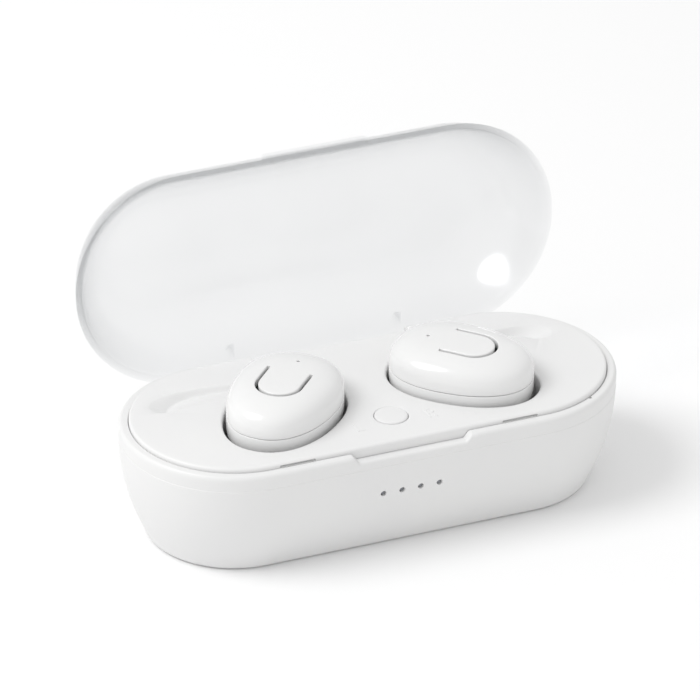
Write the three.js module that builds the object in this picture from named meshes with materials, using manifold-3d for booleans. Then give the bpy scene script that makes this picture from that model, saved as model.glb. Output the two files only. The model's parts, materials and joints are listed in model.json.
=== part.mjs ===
// A charging case for two wireless earbuds: a white pill-shaped base with an inner tray,
// a clear lid hinged along the back, and two earbuds standing in the tray's pockets.
// Millimetres, +Z up, +X along the case, front towards -Y.
// The origin is the centre of the base's flat underside.
import * as THREE from 'three';
import { mergeVertices } from 'three/addons/utils/BufferGeometryUtils.js';
import Module from 'manifold-3d';

const wasm = await Module();
wasm.setup();

// ---------------------------------------------------------------- driving dimensions
const STRAIGHT = 22.4; // half length of the straight sides, shared by base, tray and lid
const BASE_R_TOP = 17.6; // end radius at the widest line
const BASE_R_FOOT = 13.3; // end radius the flanks run down to
const FOOT_FILLET = 1.2;
const BELLY_Z = 18.0; // height where the flanks are widest
const BELLY_POWER = 2.3;
const RIM_Z = 18.6; // top of the base's ledge
const WALL = 1.7;
const SEAT_Z = 17.0; // step in the base that the tray's edge sits over
const SEAT_R = 16.35;

const DECK_R = 16.05;
const DECK_Z = 19.3;
const DECK_UNDER_Z = 17.8;
const DECK_SKIRT_Z = 17.3;

const HINGE_Y = 16.8;
const HINGE_Z = 15.6;
const HINGE_HALF = 12.7; // half width of the lid's knuckle
const KNUCKLE_R = 1.25;
const PIN_R = 0.6;
const PIN_HALF = 15.2;
const OPEN_DEG = 94;

const LID_Z = 18.9; // lid's rim plane when shut
const LID_R = 17.5;
const LID_TOP = 29.9;
const LID_CEILING = 28.4;
const LIP_R = 16.4;
const LIP_DEPTH = 1.0;

const LED_PITCH = 3.08;
const LED_Z = 11.0;
const SNAP_X = 18.3;
const SNAP_HALF = 2.65;
const NOTCH_HALF = 8.95;
const NOTCH_Z = 17.5;

const BUTTON_Y = -8.7;
const BUTTON_R = 2.6;

const BUD_X = 14.85; // centre of each earbud, mirrored
const BUD_Y = -1.5;
const BUD_TURN_DEG = 46; // long axis, turned from +X
const BUD_A = 11.4; // half length
const BUD_B = 8.3; // half width
const BUD_TOP = 25.4;
const BUD_PART_Z = 20.6; // parting line
const BUD_WALL = 1.2;
const DOME_POWER_Z = 3.4;
const DOME_POWER_R = 3.4;
const PLAN_POWER = 2.23; // 2 would make the earbuds and pockets plain ellipses
const BUD_LEAN = 0.09; // how much wider they are towards +u
const POCKET_LEAN = 0.1;
const NOZZLE_U = -3.2;
const CONTACT_U = 6.8;
const CONTACT_V = 1.6;

const POCKET_A = 12.1;
const POCKET_B = 8.75;
const POCKET_U = -0.4;
const POCKET_V = -0.1;
const POCKET_FLOOR = 10.8;
const TIP_POCKET_R = 6.3;
const TIP_POCKET_FLOOR = 4.3;

const TONGUE_HALF = 3.25;
const TONGUE_V = -0.15;
const TONGUE_ROOT_U = 2.05;
const TONGUE_ARC_U = -1.95;
const TONGUE_GAP = 0.5;
const ROOT_GAP = 0.35;

// ---------------------------------------------------------------- solid helpers
function solid(geometry) {
  const g = geometry.clone();
  for (const name of ['normal', 'uv']) {
    g.deleteAttribute(name);
  }
  const merged = mergeVertices(g, 1e-4);
  const position = merged.attributes.position.array;
  const index = merged.index.array;
  const tris = [];
  let volume = 0;
  const a = new THREE.Vector3();
  const b = new THREE.Vector3();
  const c = new THREE.Vector3();
  for (let i = 0; i < index.length; i += 3) {
    const [p, q, r] = [index[i], index[i + 1], index[i + 2]];
    if (p === q || q === r || r === p) {
      continue;
    }
    a.fromArray(position, 3 * p);
    b.fromArray(position, 3 * q);
    c.fromArray(position, 3 * r);
    volume += a.dot(b.cross(c));
    tris.push([p, q, r]);
  }
  const order = volume < 0 ? [0, 2, 1] : [0, 1, 2];
  const triVerts = new Uint32Array(tris.flatMap((t) => order.map((k) => t[k])));
  const mesh = new wasm.Mesh({ numProp: 3, vertProperties: new Float32Array(position), triVerts });
  return new wasm.Manifold(mesh);
}

function geometryOf(manifold) {
  const mesh = manifold.getMesh();
  const g = new THREE.BufferGeometry();
  g.setAttribute('position', new THREE.BufferAttribute(new Float32Array(mesh.vertProperties), 3));
  g.setIndex(new THREE.BufferAttribute(new Uint32Array(mesh.triVerts), 1));
  g.computeVertexNormals();
  return g;
}

function union(...parts) {
  return parts.reduce((all, part) => all.add(part));
}

function cut(body, ...tools) {
  return tools.reduce((left, tool) => left.subtract(tool), body);
}

function box(x0, x1, y0, y1, z0, z1) {
  const g = new THREE.BoxGeometry(x1 - x0, y1 - y0, z1 - z0);
  g.translate((x0 + x1) / 2, (y0 + y1) / 2, (z0 + z1) / 2);
  return solid(g);
}

function rod(axis, radius, from, to, p, q, sides = 24) {
  // A cylinder along x, y or z; p and q place it in the other two directions, in x, y, z order.
  const g = new THREE.CylinderGeometry(radius, radius, to - from, sides);
  g.translate(0, (from + to) / 2, 0);
  if (axis === 'x') {
    g.rotateZ(-Math.PI / 2);
    g.translate(0, p, q);
  } else if (axis === 'y') {
    g.translate(p, 0, q);
  } else {
    g.rotateX(Math.PI / 2);
    g.translate(p, q, 0);
  }
  return solid(g);
}

function toVectors(points) {
  return points.map(([r, z]) => new THREE.Vector2(r, z));
}

function lathe(points, sides, phase = 0) {
  // Turned about +Z.
  const g = new THREE.LatheGeometry(toVectors(points), sides, phase, 2 * Math.PI);
  g.rotateX(Math.PI / 2);
  return g;
}

function ring(points, sides = 40) {
  return solid(lathe(points, sides));
}

function pill(points, sides = 48) {
  // A lathe split along the YZ plane, its halves moved apart: round ends and straight sides.
  const g = lathe(points, sides, Math.PI / sides);
  const position = g.attributes.position;
  for (let i = 0; i < position.count; i += 1) {
    const column = Math.floor(i / points.length) % sides;
    const side = column < sides / 2 ? 1 : -1;
    position.setX(i, position.getX(i) + side * STRAIGHT);
  }
  return solid(g);
}

function stretch(g, a, b, lean) {
  // Draws a turned shape of unit radius out to the half lengths a and b: a little squarer than
  // an ellipse, and wider towards +X by the fraction lean.
  const position = g.attributes.position;
  for (let i = 0; i < position.count; i += 1) {
    const x = position.getX(i);
    const y = position.getY(i);
    const r = Math.hypot(x, y);
    if (r > 0) {
      const sum = Math.abs(x / r) ** PLAN_POWER + Math.abs(y / r) ** PLAN_POWER;
      const k = sum ** (-1 / PLAN_POWER);
      position.setXY(i, a * k * x, b * k * y * (1 + lean * k * x));
    }
  }
  return g;
}

function egg(points, a, b, sides = 36) {
  return solid(stretch(lathe(points, sides), a, b, BUD_LEAN));
}

function prism(shape, z0, z1, segments = 10) {
  const g = new THREE.ExtrudeGeometry(shape, {
    depth: z1 - z0,
    bevelEnabled: false,
    curveSegments: segments,
  });
  g.translate(0, 0, z0);
  return solid(g);
}

function curve(p0, p1, p2, p3, steps) {
  const bezier = new THREE.CubicBezierCurve(...toVectors([p0, p1, p2, p3]));
  return bezier.getPoints(steps).map((v) => [v.x, v.y]);
}

function arc(cx, cz, radius, from, to, steps) {
  const points = [];
  for (let i = 0; i <= steps; i += 1) {
    const t = THREE.MathUtils.degToRad(from + ((to - from) * i) / steps);
    points.push([cx + radius * Math.cos(t), cz + radius * Math.sin(t)]);
  }
  return points;
}

// ---------------------------------------------------------------- materials and scene
const looks = {
  whiteShell: { color: 0xf2f2f1, roughness: 0.42, metalness: 0 },
  whiteTray: { color: 0xf4f4f3, roughness: 0.5, metalness: 0 },
  whiteGloss: { color: 0xf5f5f4, roughness: 0.2, metalness: 0 },
  clearLid: { color: 0xe9ebec, roughness: 0.06, metalness: 0, transparent: true, opacity: 0.3 },
  steel: { color: 0xb9bcc0, roughness: 0.3, metalness: 1 },
  gold: { color: 0xd9b45a, roughness: 0.28, metalness: 1 },
  board: { color: 0x1f5a3c, roughness: 0.55, metalness: 0 },
  battery: { color: 0x9fa4aa, roughness: 0.4, metalness: 0.6 },
  foam: { color: 0x2b2b2d, roughness: 0.95, metalness: 0 },
  diffuser: { color: 0xc9ccd0, roughness: 0.35, metalness: 0 },
  led: { color: 0xf4e9b0, roughness: 0.3, metalness: 0 },
  silicone: { color: 0xededec, roughness: 0.65, metalness: 0 },
  mesh: { color: 0x4a4c50, roughness: 0.6, metalness: 0.7 },
  magnet: { color: 0x8d8f94, roughness: 0.35, metalness: 0.9 },
  blackPlastic: { color: 0x232326, roughness: 0.5, metalness: 0 },
};

function piece(name, manifold, look, parent) {
  const material = new THREE.MeshStandardMaterial(looks[look]);
  const mesh = new THREE.Mesh(geometryOf(manifold), material);
  mesh.name = name;
  parent.add(mesh);
  return mesh;
}

const model = new THREE.Group();
const base = new THREE.Group();
const lidGroup = new THREE.Group();
lidGroup.position.set(0, HINGE_Y, HINGE_Z);
lidGroup.rotation.x = THREE.MathUtils.degToRad(-OPEN_DEG);
model.add(base, lidGroup);

const budFrames = { left: -1, right: 1 };
const budGroups = {};
for (const [name, side] of Object.entries(budFrames)) {
  // The earbuds mirror each other; each frame has u along the earbud and v across it.
  const mirror = new THREE.Group();
  mirror.scale.x = -side;
  const frame = new THREE.Group();
  frame.position.set(-BUD_X, BUD_Y, 0);
  frame.rotation.z = THREE.MathUtils.degToRad(BUD_TURN_DEG);
  mirror.add(frame);
  model.add(mirror);
  mirror.updateMatrixWorld(true);
  budGroups[name] = frame;
}

function inBudFrame(manifold, name) {
  // The same solid moved from an earbud's own frame to the case's frame.
  const g = geometryOf(manifold);
  g.applyMatrix4(budGroups[name].matrixWorld);
  return solid(g);
}

// ---------------------------------------------------------------- lower case shell
function shellRadius(z) {
  const down = Math.max(0, 1 - z / BELLY_Z);
  return BASE_R_TOP - (BASE_R_TOP - BASE_R_FOOT) * down ** BELLY_POWER;
}

function flank(z0, z1, inset, steps) {
  const points = [];
  for (let i = 0; i <= steps; i += 1) {
    const z = z0 + ((z1 - z0) * i) / steps;
    points.push([shellRadius(z) - inset, z]);
  }
  return points;
}

const outerProfile = [
  [0, 0],
  ...arc(shellRadius(1.2) - FOOT_FILLET, FOOT_FILLET, FOOT_FILLET, -90, -18, 3),
  ...flank(1.9, 17.8, 0, 6),
  [BASE_R_TOP - 0.22, 18.38],
  [BASE_R_TOP - 0.7, RIM_Z],
  [0, RIM_Z],
];
const cavityProfile = [
  [0, WALL],
  [shellRadius(WALL) - WALL - 1.2, WALL],
  ...flank(2.9, 16.0, WALL, 3),
  [shellRadius(16.4) - WALL, 30],
  [0, 30],
];
const seatProfile = [
  [0, SEAT_Z],
  [SEAT_R, SEAT_Z],
  [SEAT_R, 30],
  [0, 30],
];
const shellOuter = pill(outerProfile);
const hingeBlock = box(-16, 16, 13.9, 18, 11, SEAT_Z).intersect(shellOuter);

const notchShape = new THREE.Shape();
notchShape.moveTo(-NOTCH_HALF - 0.9, RIM_Z + 0.5);
notchShape.lineTo(-NOTCH_HALF, NOTCH_Z);
notchShape.lineTo(NOTCH_HALF, NOTCH_Z);
notchShape.lineTo(NOTCH_HALF + 0.9, RIM_Z + 0.5);
const notchGeometry = new THREE.ExtrudeGeometry(notchShape, { depth: 4, bevelEnabled: false });
notchGeometry.rotateX(Math.PI / 2);
notchGeometry.translate(0, -SEAT_R + 0.2, 0);

const ledXs = [-1.5, -0.5, 0.5, 1.5].map((k) => k * LED_PITCH);
const barrelRecess = box(-13, 13, 15.2, 20, HINGE_Z - KNUCKLE_R - 0.35, 30);
const shell = cut(
  union(cut(shellOuter, pill(cavityProfile)), hingeBlock),
  pill(seatProfile),
  barrelRecess,
  solid(notchGeometry),
  rod('x', PIN_R + 0.15, -PIN_HALF - 0.2, PIN_HALF + 0.2, HINGE_Y, HINGE_Z, 20),
  box(-4.1, 4.1, 10, 20, 3.6, 6.9),
  rod('z', 0.28, RIM_Z - 1, RIM_Z + 1, 29.5, -14.95, 12),
  ...ledXs.map((x) => rod('y', 0.5, -20, -14, x, LED_Z, 12)),
);
piece('lower_case_shell', shell, 'whiteShell', base);

// ---------------------------------------------------------------- inner tray
const deckProfile = [
  [0, DECK_UNDER_Z],
  [14.9, DECK_UNDER_Z],
  [14.9, DECK_SKIRT_Z],
  [DECK_R, DECK_SKIRT_Z],
  [DECK_R, DECK_Z - 0.55],
  [DECK_R - 0.17, DECK_Z - 0.16],
  [DECK_R - 0.55, DECK_Z],
  [0, DECK_Z],
];

function oval(a, b, z0, z1, flare = 0) {
  const points = [
    [0, z0],
    [1, z0],
    [1, z1],
    [0, z1],
  ];
  if (flare > 0) {
    points.splice(2, 1, [1, z1 - flare], [1 + flare / a, z1], [1 + flare / a, z1 + 2], [0, z1 + 2]);
    points.pop();
  }
  return solid(stretch(lathe(points, 44), a, b, POCKET_LEAN));
}

function capsule(points, radius, z0, z1) {
  // A round-ended channel along a line of points.
  const parts = [];
  for (let i = 0; i < points.length; i += 1) {
    const [x, y] = points[i];
    parts.push(rod('z', radius, z0, z1, x, y, 20));
    if (i > 0) {
      const [px, py] = points[i - 1];
      const length = Math.hypot(x - px, y - py);
      const g = new THREE.BoxGeometry(length, 2 * radius, z1 - z0);
      g.rotateZ(Math.atan2(y - py, x - px));
      g.translate((x + px) / 2, (y + py) / 2, (z0 + z1) / 2);
      parts.push(solid(g));
    }
  }
  return union(...parts);
}

const atPocket = (manifold) => manifold.translate([POCKET_U, POCKET_V, 0]);
const finChannel = [
  [-31.7, 6.6],
  [-30.3, 7.4],
  [-27.5, 7.85],
  [-24.0, 7.75],
  [-16.5, 7.4],
];
let tray = pill(deckProfile);
const trayCuts = [
  box(-13, 13, 14.9, 20, 10, 30),
  rod('z', BUTTON_R + 0.25, 10, 30, 0, BUTTON_Y, 40),
];
for (const name of Object.keys(budFrames)) {
  const side = budFrames[name];
  const cup = union(
    atPocket(oval(POCKET_A + 1, POCKET_B + 1, POCKET_FLOOR - 1.2, DECK_UNDER_Z + 0.5)),
    rod('z', TIP_POCKET_R + 0.9, TIP_POCKET_FLOOR - 0.9, POCKET_FLOOR, NOZZLE_U, 0, 32),
  );
  tray = tray.add(inBudFrame(cup, name));
  const hollow = union(
    atPocket(oval(POCKET_A, POCKET_B, POCKET_FLOOR, DECK_Z, 0.35)),
    rod('z', TIP_POCKET_R, TIP_POCKET_FLOOR, POCKET_FLOOR + 1, NOZZLE_U, 0, 32),
    rod('z', 0.8, 5, POCKET_FLOOR + 1, CONTACT_U, CONTACT_V, 12),
    rod('z', 0.8, 5, POCKET_FLOOR + 1, CONTACT_U, -CONTACT_V, 12),
  );
  trayCuts.push(inBudFrame(hollow, name));
  trayCuts.push(capsule(finChannel.map(([x, y]) => [-side * x, y]), 1.75, DECK_Z - 1.0, DECK_Z + 1));
  trayCuts.push(box(side * SNAP_X - 2.95, side * SNAP_X + 2.95, -17, -DECK_R + 0.55, 18.6, 18.95));
}
tray = cut(tray, ...trayCuts);
piece('inner_tray', tray, 'whiteTray', base);

// ---------------------------------------------------------------- power button and its switch
const buttonCap = ring([
  [0, 16.8],
  [BUTTON_R + 0.6, 16.8],
  [BUTTON_R + 0.6, 17.4],
  [BUTTON_R, 17.4],
  [BUTTON_R, DECK_Z],
  [BUTTON_R - 0.3, DECK_Z + 0.15],
  [0, DECK_Z + 0.2],
]);
const moveToButton = (manifold) => manifold.translate([0, BUTTON_Y, 0]);
piece('power_button', moveToButton(buttonCap), 'whiteTray', base);
const powerSwitch = union(
  box(-1.75, 1.75, -1.75, 1.75, 15.0, 16.0),
  rod('z', 0.8, 15.9, 16.3, 0, 0),
);
piece('power_switch', moveToButton(powerSwitch), 'blackPlastic', base);
piece('button_board', moveToButton(box(-3.2, 3.2, -3.0, 3.0, 13.9, 14.7)), 'board', base);

// ---------------------------------------------------------------- board, socket and battery
piece('main_board', box(-8, 8, -11, 12, 2.3, 3.1), 'board', base);
const usbBody = cut(box(-3.75, 3.75, 9.6, 14.9, 3.9, 6.6), box(-3.4, 3.4, 10.2, 16, 4.2, 6.3));
const usbTongue = box(-2.4, 2.4, 10.0, 14.2, 5.0, 5.5);
piece('usb_socket', usbBody.add(usbTongue), 'steel', base);
piece('battery_foam', box(-5, 5, -11.5, 8.5, 3.5, 3.9), 'foam', base);
piece('case_battery', box(-5.6, 5.6, -12.4, 9, 4.2, 9.2), 'battery', base);

// ---------------------------------------------------------------- charge indicator
const guide = union(
  box(-6.2, 6.2, -14.95, -14.1, LED_Z - 1, LED_Z + 1),
  ...ledXs.map((x) => rod('y', 0.3, -16.7, -14.5, x, LED_Z, 10)),
);
piece('light_guide', guide, 'diffuser', base);
ledXs.forEach((x, i) => {
  const led = box(x - 0.8, x + 0.8, -13.8, -13.1, LED_Z - 0.4, LED_Z + 0.4);
  piece(`status_led_${i + 1}`, led, 'led', base);
});
piece('led_board', box(-6.5, 6.5, -12.8, -12.2, 9.7, 12.6), 'board', base);

// ---------------------------------------------------------------- hinge pin
piece('hinge_pin', rod('x', PIN_R, -PIN_HALF, PIN_HALF, HINGE_Y, HINGE_Z, 20), 'steel', base);

// ---------------------------------------------------------------- lid, drawn shut
const lidOuter = pill([
  [0, LID_Z],
  ...curve([LID_R, LID_Z], [16.3, 22.4], [14.2, LID_TOP], [8, LID_TOP], 7),
  [0, LID_TOP],
]);
const lidHollow = pill([
  [0, LID_Z - 1],
  [LIP_R, LID_Z - 1],
  [LIP_R, LID_Z + LIP_DEPTH],
  ...curve([16.0, LID_Z + LIP_DEPTH], [15.0, 22.6], [13.1, LID_CEILING], [7.6, LID_CEILING], 6),
  [0, LID_CEILING],
]);
const gusset = new THREE.Shape();
gusset.moveTo(16.6, 20.4);
gusset.lineTo(16.2, 22.8);
gusset.lineTo(13.6, 20.4);

function sideRib(x0, x1) {
  const g = new THREE.ExtrudeGeometry(gusset, { depth: x1 - x0, bevelEnabled: false });
  g.rotateX(Math.PI / 2);
  g.rotateZ(Math.PI / 2);
  g.translate(x0, 0, 0);
  return solid(g).intersect(lidOuter);
}

const knuckleBore = rod('x', PIN_R + 0.2, -14, 14, HINGE_Y, HINGE_Z, 20);
const knuckle = union(
  rod('x', KNUCKLE_R, -HINGE_HALF, HINGE_HALF, HINGE_Y, HINGE_Z, 20),
  box(-HINGE_HALF, HINGE_HALF, LIP_R, LID_R, HINGE_Z, LID_Z + 0.3),
);
let lid = union(
  cut(lidOuter, lidHollow),
  knuckle,
  sideRib(13.6, 14.5),
  sideRib(-14.5, -13.6),
  box(-8.7, 8.7, -18.2, -17.0, 18.0, 19.7),
);
for (const side of [-1, 1]) {
  const x = side * SNAP_X;
  lid = lid.add(box(x - SNAP_HALF, x + SNAP_HALF, -LIP_R - 0.2, -LIP_R + 0.22, 18.95, 19.25));
}
lid = cut(lid, knuckleBore).translate([0, -HINGE_Y, -HINGE_Z]);
piece('lid', lid, 'clearLid', lidGroup);

// ---------------------------------------------------------------- earbuds
function dome(inset, z0, z1, steps) {
  const points = [[0, z0]];
  for (let i = 0; i <= steps; i += 1) {
    const t = Math.sin((Math.PI / 2) * (i / steps));
    const r = (1 - t ** DOME_POWER_Z) ** (1 / DOME_POWER_R);
    points.push([i === steps ? 0 : r, z0 + t * (z1 - z0)]);
  }
  return egg(points, BUD_A - inset, BUD_B - inset);
}

function tongueOutline(half, rootU, arcR) {
  const shape = new THREE.Shape();
  shape.moveTo(rootU, TONGUE_V - half);
  shape.lineTo(rootU, TONGUE_V + half);
  shape.lineTo(TONGUE_ARC_U, TONGUE_V + half);
  shape.absarc(TONGUE_ARC_U, TONGUE_V, arcR, Math.PI / 2, (3 * Math.PI) / 2, false);
  return shape;
}

const lowerProfile = [
  [0, 11.2],
  [0.45, 11.2],
  [0.63, 12.0],
  [0.8, 13.4],
  [0.93, 15.6],
  [0.985, 17.6],
  [1, 19.0],
  [1, BUD_PART_Z - 0.15],
  [0, BUD_PART_Z - 0.15],
];
const lowerHollowProfile = [
  [0, 12.6],
  [0.5, 12.6],
  [0.76, 14.4],
  [0.95, 17.8],
  [1, 30],
  [0, 30],
];

function eggOfInset(points, inset) {
  return egg(points, BUD_A - inset, BUD_B - inset);
}

const domeOuter = dome(0, BUD_PART_Z + 0.15, BUD_TOP, 9);
const domeInner = dome(BUD_WALL, BUD_PART_Z + 0.1, BUD_TOP - BUD_WALL, 6);
const tongueHole = prism(
  tongueOutline(TONGUE_HALF + TONGUE_GAP, TONGUE_ROOT_U + ROOT_GAP, TONGUE_HALF + TONGUE_GAP),
  22,
  32,
);
const indicator = rod('z', 0.3, 22.6, 32, 5.6, -0.25, 12);
const outerShell = cut(domeOuter, domeInner, tongueHole, indicator);
const tongue = cut(domeOuter, domeInner).intersect(
  prism(tongueOutline(TONGUE_HALF, TONGUE_ROOT_U, TONGUE_HALF), 22, 32),
);
const nozzle = rod('z', 2.9, 6.3, 12.6, NOZZLE_U, 0, 24);
const innerShell = cut(
  union(eggOfInset(lowerProfile, 0), nozzle),
  eggOfInset(lowerHollowProfile, BUD_WALL),
  rod('z', 1.9, 5, 14, NOZZLE_U, 0, 20),
  rod('z', 1.1, 9, 14, CONTACT_U, CONTACT_V, 14),
  rod('z', 1.1, 9, 14, CONTACT_U, -CONTACT_V, 14),
);
const earTip = ring([
  [3.1, 10.0],
  [3.1, 5.8],
  [2.2, 5.6],
  [2.2, 4.95],
  [4.2, 5.4],
  [5.5, 7.4],
  [5.9, 10.4],
  [5.3, 10.4],
  [4.8, 7.7],
  [3.9, 6.6],
  [3.9, 10.0],
  [3.1, 10.0],
], 24).translate([NOZZLE_U, 0, 0]);
const budSwitch = union(
  box(-1.5, 1.5, -1.5, 1.5, 22.5, 23.1),
  rod('z', 0.7, 23.0, 23.7, 0, 0, 16),
).translate([TONGUE_ARC_U, TONGUE_V, 0]);

for (const name of Object.keys(budFrames)) {
  const bud = budGroups[name];
  const add = (suffix, manifold, look) => piece(`${name}_${suffix}`, manifold, look, bud);
  add('bud_outer_shell', outerShell, 'whiteGloss');
  add('bud_button', tongue, 'whiteGloss');
  add('bud_inner_shell', innerShell, 'whiteGloss');
  add('bud_ear_tip', earTip, 'silicone');
  add('bud_nozzle_mesh', rod('z', 1.7, 6.7, 7.0, NOZZLE_U, 0, 24), 'mesh');
  add('bud_speaker', rod('z', 3.4, 14.1, 17.0, NOZZLE_U, 0, 18), 'magnet');
  add('bud_battery', rod('z', 4.6, 17.6, 21.2, 1.8, 0, 20), 'battery');
  add('bud_board', oval(7.4, 4.9, 21.5, 22.1), 'board');
  add('bud_switch', budSwitch, 'blackPlastic');
  add('bud_magnet', rod('z', 1.4, 14.8, 16.2, 3.6, 2.2, 12), 'magnet');
  for (const [letter, v] of [['a', CONTACT_V], ['b', -CONTACT_V]]) {
    add(`bud_contact_${letter}`, rod('z', 0.9, 11.8, 13.4, CONTACT_U, v, 14), 'gold');
    const pin = rod('z', 0.55, 9.3, 11.45, CONTACT_U, v, 14);
    add(`charge_pin_${letter}`, pin, 'gold');
  }
  add('contact_board', box(5.1, 8.6, -3.2, 3.2, 7.6, 8.4), 'board');
  add('case_magnet', rod('z', 1.5, 7.8, 9.2, 4.2, 5.4, 12), 'magnet');
}

export default model;
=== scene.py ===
import json
import math

import bmesh
import bpy
import numpy as np
from mathutils import Matrix, Vector


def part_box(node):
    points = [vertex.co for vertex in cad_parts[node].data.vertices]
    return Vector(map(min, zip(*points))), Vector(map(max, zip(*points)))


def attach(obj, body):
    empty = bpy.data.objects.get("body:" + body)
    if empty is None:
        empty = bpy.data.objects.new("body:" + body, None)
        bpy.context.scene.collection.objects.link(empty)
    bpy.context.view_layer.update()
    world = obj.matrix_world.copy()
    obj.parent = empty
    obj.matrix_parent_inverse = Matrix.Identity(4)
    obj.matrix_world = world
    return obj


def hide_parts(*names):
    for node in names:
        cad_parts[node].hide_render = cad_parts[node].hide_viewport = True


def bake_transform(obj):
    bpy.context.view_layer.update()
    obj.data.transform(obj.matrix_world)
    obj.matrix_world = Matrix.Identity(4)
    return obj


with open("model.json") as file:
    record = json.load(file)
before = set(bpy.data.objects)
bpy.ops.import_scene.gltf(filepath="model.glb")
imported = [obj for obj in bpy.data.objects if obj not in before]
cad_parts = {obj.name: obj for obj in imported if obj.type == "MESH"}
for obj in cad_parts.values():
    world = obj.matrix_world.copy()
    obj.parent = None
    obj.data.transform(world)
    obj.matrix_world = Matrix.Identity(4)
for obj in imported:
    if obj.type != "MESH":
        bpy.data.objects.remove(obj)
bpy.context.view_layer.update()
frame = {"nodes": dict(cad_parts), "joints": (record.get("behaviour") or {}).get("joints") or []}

# A charging case for two wireless earbuds. Lengths are millimetres until a piece is placed.
MM = 0.001
NODES = frame["nodes"]


def node_box(name):
    low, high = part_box(name)
    return [c / MM for c in low], [c / MM for c in high]


_, shell_high = node_box("lower_case_shell")
_, tray_high = node_box("inner_tray")
button_low, button_high = node_box("power_button")
pin_low, pin_high = node_box("hinge_pin")
hinge = next(j for j in frame["joints"] if j["name"] == "lid_hinge")

# ---------------------------------------------------------------- driving dimensions
BASE_R = shell_high[1]
STRAIGHT = shell_high[0] - BASE_R
FOOT_R = BASE_R - 4.3
BELLY_Z = 18.0
BELLY_POWER = 2.3
RIM_Z = shell_high[2]
FOOT_FILLET = 1.2
WALL = 1.7
SEAT_Z = 17.0
SEAT_R = 16.11

DECK_R = tray_high[1]
DECK_Z = tray_high[2]
DECK_UNDER_Z = DECK_Z - 1.5
SKIRT_Z = 17.3

HINGE_Y = hinge["pos_m"][1] / MM
HINGE_Z = hinge["pos_m"][2] / MM
OPEN_DEG = 94.0
KNUCKLE_R = 1.25
KNUCKLE_HALF = 12.7
PIN_R = (pin_high[2] - pin_low[2]) / 2
PIN_HALF = pin_high[0]

LID_Z = 18.9
LID_R = 17.5
LID_TOP = 29.9
LID_CEILING = 28.4
LIP_R = 16.4
LIP_DEPTH = 1.0

LED_PITCH = 3.08
LED_Z = 11.0
SNAP_X = 18.3
SNAP_HALF = 2.65
NOTCH_HALF = 8.95
NOTCH_Z = 17.5
BUTTON_Y = (button_low[1] + button_high[1]) / 2
BUTTON_R = 2.6

BUD_X = 14.85
BUD_Y = -1.5
BUD_TURN = math.radians(46)
BUD_A = 11.4
BUD_B = 8.3
BUD_TOP = node_box("left_bud_outer_shell")[1][2]
BUD_PART_Z = 20.6
PLAN_POWER = 2.23
BUD_LEAN = 0.09 / BUD_A  # widening towards +u, per millimetre
POCKET_LEAN = 0.00826
DOME_POWER_Z = 3.4
DOME_POWER_R = 3.4
BUD_WALL = 1.2
NOZZLE_U = -3.2
CONTACT_U = 6.8
CONTACT_V = 1.6
POCKET_A = 12.1
POCKET_B = 8.75
POCKET_U = -0.4
POCKET_V = -0.1
POCKET_FLOOR = 10.8
TIP_POCKET_R = 6.3
TIP_POCKET_FLOOR = 4.3
TONGUE_HALF = 3.25
TONGUE_V = -0.15
TONGUE_ROOT_U = 2.4
TONGUE_ARC_U = -1.95
TONGUE_GAP = 0.5
INDICATOR_U = 5.6
INDICATOR_V = -0.25
PINHOLE = (31.0, -13.8)
SEAM_Z = 16.0
MARK_X = 5.9
MARK_Y = -10.2
SEAM_STEP = 0.05
SLOT_Z = 18.78

ABOVE = 30.0  # clear of everything a cutter has to leave
ARC_SIDES = 48
STRAIGHT_SIDES = 16
EGG_SIDES = 112


# ---------------------------------------------------------------- mesh helpers
def mesh_object(name, verts, faces):
    mesh = bpy.data.meshes.new(name)
    mesh.from_pydata([tuple(v) for v in verts], [], [tuple(f) for f in faces])
    obj = bpy.data.objects.new(name, mesh)
    bpy.context.scene.collection.objects.link(obj)
    bm = bmesh.new()
    bm.from_mesh(mesh)
    bmesh.ops.recalc_face_normals(bm, faces=bm.faces)
    bm.to_mesh(mesh)
    bm.free()
    return obj


def loft(name, loops, closed=False):
    """A solid through loops of points; its ends are capped unless the row of loops closes on itself."""
    loops = [np.asarray(loop, float) for loop in loops]
    count = len(loops[0])
    faces = []
    rows = len(loops)
    for i in range(rows if closed else rows - 1):
        a, b = i * count, ((i + 1) % rows) * count
        for j in range(count):
            k = (j + 1) % count
            faces.append((a + j, a + k, b + k, b + j))
    if not closed:
        faces.append(tuple(reversed(range(count))))
        faces.append(tuple(range((rows - 1) * count, rows * count)))
    return mesh_object(name, np.vstack(loops), faces)


def pill_loop(radius, z, arc_sides=ARC_SIDES):
    points = []
    for side in (1, -1):
        start = -math.pi / 2 if side > 0 else math.pi / 2
        for i in range(arc_sides + 1):
            t = start + math.pi * i / arc_sides
            points.append((side * STRAIGHT + radius * math.cos(t), radius * math.sin(t), z))
        for i in range(1, STRAIGHT_SIDES):
            x = side * STRAIGHT * (1 - 2 * i / STRAIGHT_SIDES)
            points.append((x, side * radius, z))
    return points


def pill(name, profile, closed=False):
    return loft(name, [pill_loop(r, z) for r, z in profile], closed)


def round_loop(radius, z, cx, cy, sides):
    turn = [2 * math.pi * i / sides for i in range(sides)]
    return [(cx + radius * math.cos(t), cy + radius * math.sin(t), z) for t in turn]


def oval_loop(a, b, z, lean, cu=0.0, cv=0.0):
    """Plan of an earbud or its pocket: squarer than an ellipse, and wider towards +u by lean per mm."""
    points = []
    for i in range(EGG_SIDES):
        t = 2 * math.pi * i / EGG_SIDES
        c, s = math.cos(t), math.sin(t)
        k = (abs(c) ** PLAN_POWER + abs(s) ** PLAN_POWER) ** (-1 / PLAN_POWER)
        points.append((cu + a * k * c, cv + b * k * s * (1 + lean * a * k * c), z))
    return points


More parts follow.
